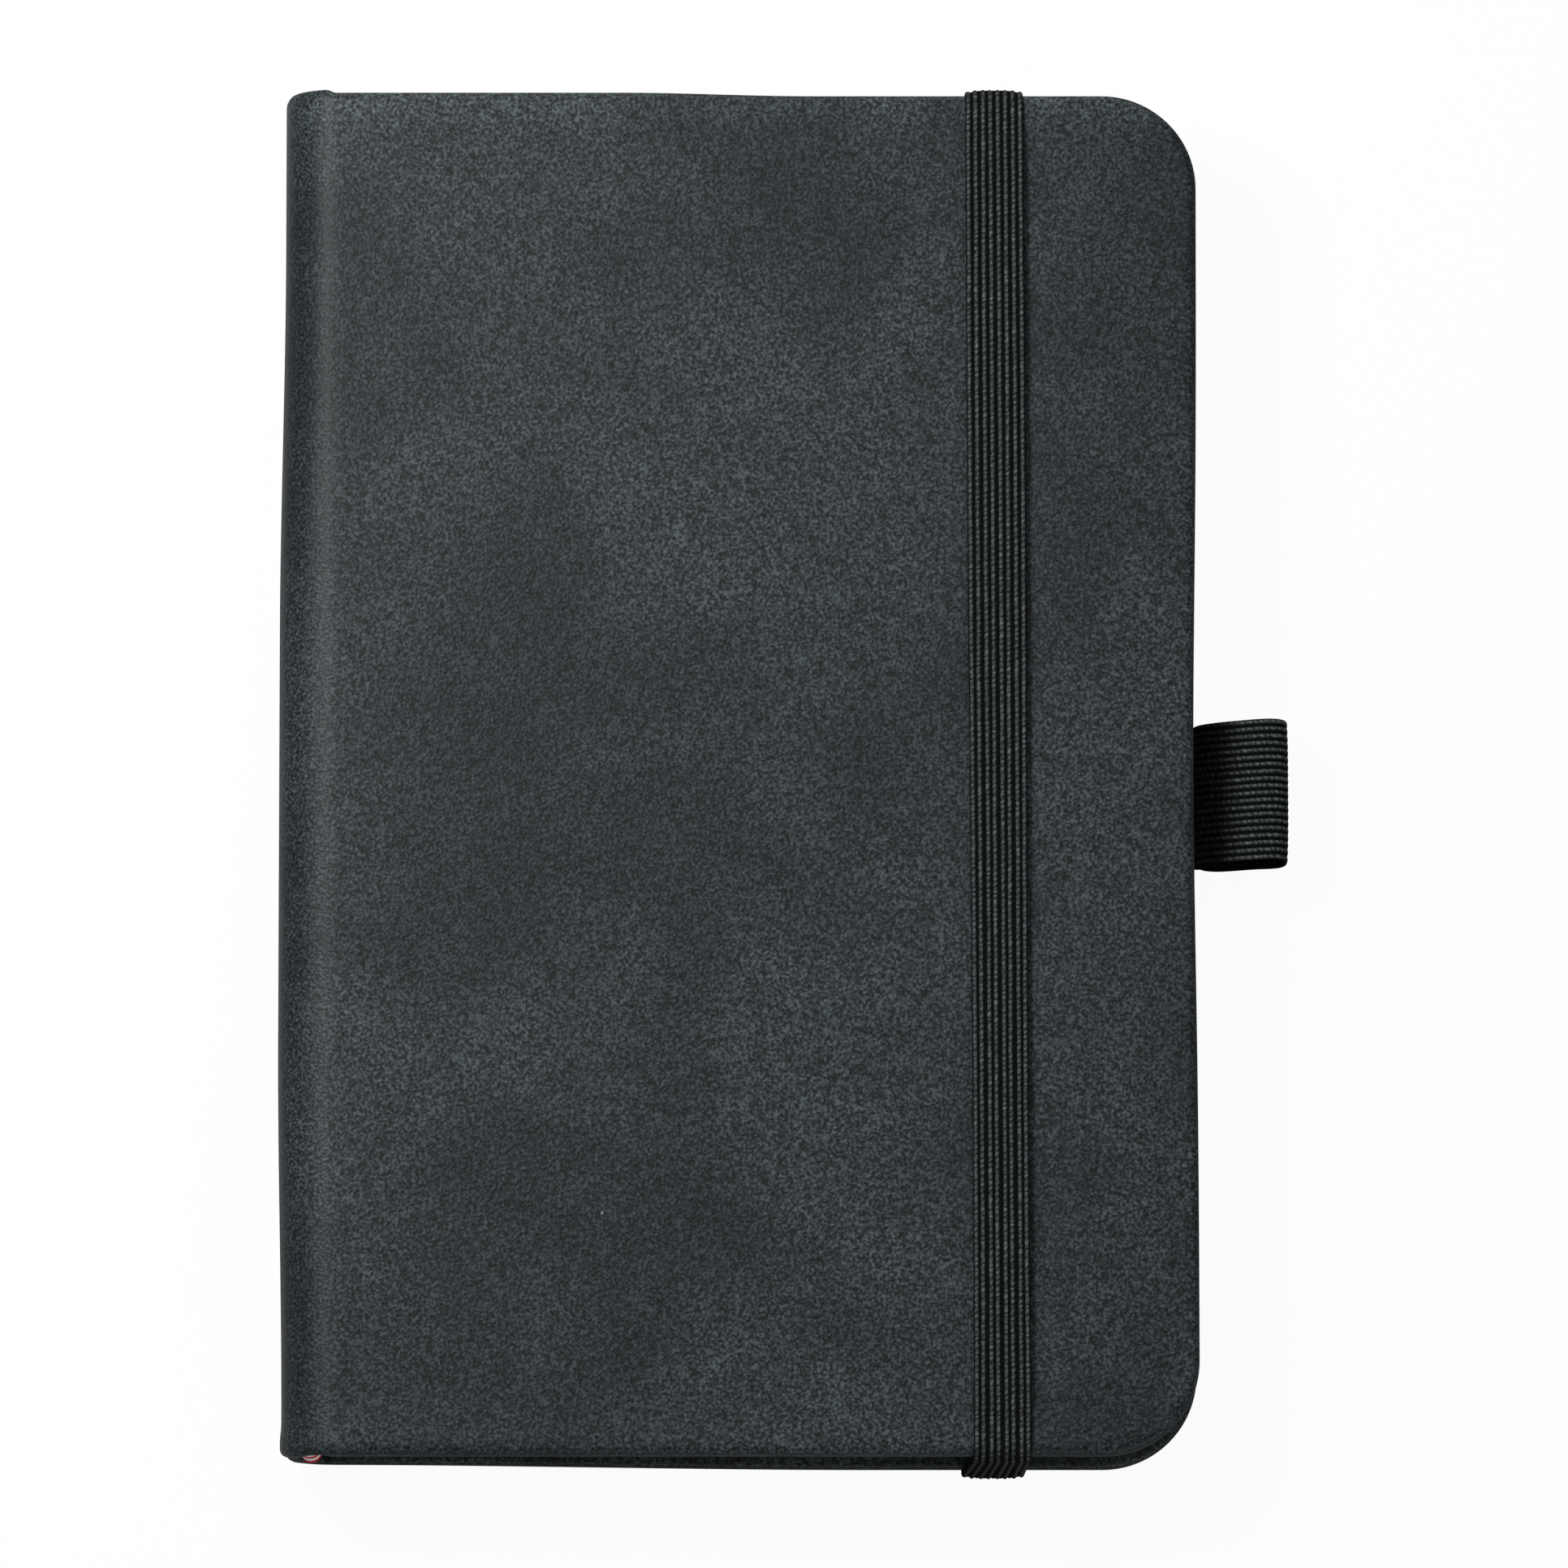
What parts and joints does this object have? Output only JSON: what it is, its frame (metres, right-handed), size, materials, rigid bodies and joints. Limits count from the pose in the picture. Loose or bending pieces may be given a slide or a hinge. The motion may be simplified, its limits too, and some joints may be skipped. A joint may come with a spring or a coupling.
{
  "type": "pocket notebook",
  "caption": "Hard-cover pocket notebook, soft-touch leather case, rounded fore-edge corners, sewn pages, elastic closure band and elastic pen loop.",
  "frame": {"origin": "middle of the back cover's outer face, pen loop left out", "axes": "+X from the spine to the fore edge, +Y from the tail to the head, +Z from the back cover to the front cover"},
  "size_m": [0.1063, 0.1466, 0.0171],
  "materials": {
    "leather": "matte soft-touch, cloudy charcoal",
    "board": "greyboard",
    "endpaper": "ivory endpaper",
    "paper": "ivory writing paper",
    "gauze": "open-weave cotton",
    "striped_band": "red and white diagonal stripe",
    "elastic": "black ribbed elastic"
  },
  "bodies": {
    "back_cover": {"back_board": "board", "back_leather": "leather", "back_pastedown": "endpaper", "pen_loop": "elastic", "band_tuck_tail": "elastic", "band_tuck_head": "elastic"},
    "text_block": {"section_02": "paper", "section_03": "paper", "section_04": "paper", "section_05": "paper", "section_06": "paper", "section_07": "paper", "section_08": "paper", "section_09": "paper", "section_10": "paper", "section_11": "paper", "section_12": "paper", "mull": "gauze", "tail_band": "striped_band", "head_band": "striped_band", "spine_leather": "leather", "spine_liner": "board", "front_joint_leather": "leather", "back_joint_leather": "leather"},
    "front_cover": {"front_board": "board", "front_leather": "leather", "front_pastedown": "endpaper"},
    "front_leaf": {"front_flyleaf": "endpaper"},
    "first_section": {"section_01": "paper"},
    "back_leaf": {"back_flyleaf": "endpaper"},
    "band_legs": {"band_leg_tail": "elastic", "band_leg_head": "elastic"},
    "band_run": {"band_front_run": "elastic"}
  },
  "joints": [
    {"name": "back_hinge", "type": "hinge", "parent": "back_cover", "child": "text_block", "pos_m": [-0.0459, 0, 0.00301], "axis": [0, 1, 0], "range_deg": [-90, 0], "deforming": ["back_joint_leather"]},
    {"name": "front_hinge", "type": "hinge", "parent": "text_block", "child": "front_cover", "pos_m": [-0.0459, 0, 0.01333], "axis": [0, -1, 0], "range_deg": [0, 186], "deforming": ["front_joint_leather"]},
    {"name": "front_leaf_turn", "type": "hinge", "parent": "text_block", "child": "front_leaf", "pos_m": [-0.0459, 0, 0.01333], "axis": [0, -1, 0], "range_deg": [0, 186]},
    {"name": "first_section_turn", "type": "hinge", "parent": "text_block", "child": "first_section", "pos_m": [-0.0459, 0, 0.01333], "axis": [0, -1, 0], "range_deg": [0, 186]},
    {"name": "back_leaf_turn", "type": "hinge", "parent": "back_cover", "child": "back_leaf", "pos_m": [-0.0459, 0, 0.00301], "axis": [0, -1, 0], "range_deg": [0, 90]},
    {"name": "band_release", "type": "slide", "parent": "back_cover", "child": "band_legs", "axis": [0, 0, 1], "range_m": [-0.018, 0], "deforming": ["band_leg_tail", "band_leg_head"]},
    {"name": "band_slack", "type": "slide", "parent": "band_legs", "child": "band_run", "axis": [0, 0, 1], "range_m": [-0.018, 0], "deforming": ["band_front_run"]}
  ],
  "couplings": [
    {"joint": "front_leaf_turn", "follows": "front_hinge", "ratio": 0.985},
    {"joint": "first_section_turn", "follows": "front_hinge", "ratio": 0.93},
    {"joint": "back_leaf_turn", "follows": "back_hinge", "ratio": -0.08},
    {"joint": "band_release", "follows": "front_hinge", "m_per_rad": -0.005311},
    {"joint": "band_slack", "follows": "back_hinge", "m_per_rad": 0.008378}
  ]
}
